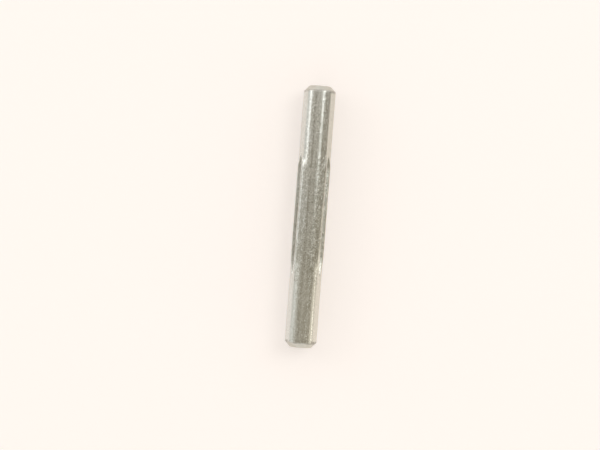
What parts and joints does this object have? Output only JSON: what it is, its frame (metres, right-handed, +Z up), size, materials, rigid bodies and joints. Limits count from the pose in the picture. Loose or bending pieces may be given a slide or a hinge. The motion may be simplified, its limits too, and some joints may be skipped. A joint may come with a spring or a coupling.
{
  "type": "grooved pin",
  "caption": "Straight zinc-plated steel pin with chamfered ends and V grooves pressed along the middle half of its length, whose raised lips grip the hole it is driven into.",
  "frame": {"origin": "middle of the pin, on its axis", "axes": "+X along the pin, +Z up as it lies, one groove facing straight down"},
  "size_m": [0.0404, 0.0052, 0.0051],
  "materials": {
    "zinc_plate": "satin zinc plating with a fine drawn grain"
  },
  "bodies": {
    "root": {"grooved_pin": "zinc_plate"}
  },
  "joints": []
}
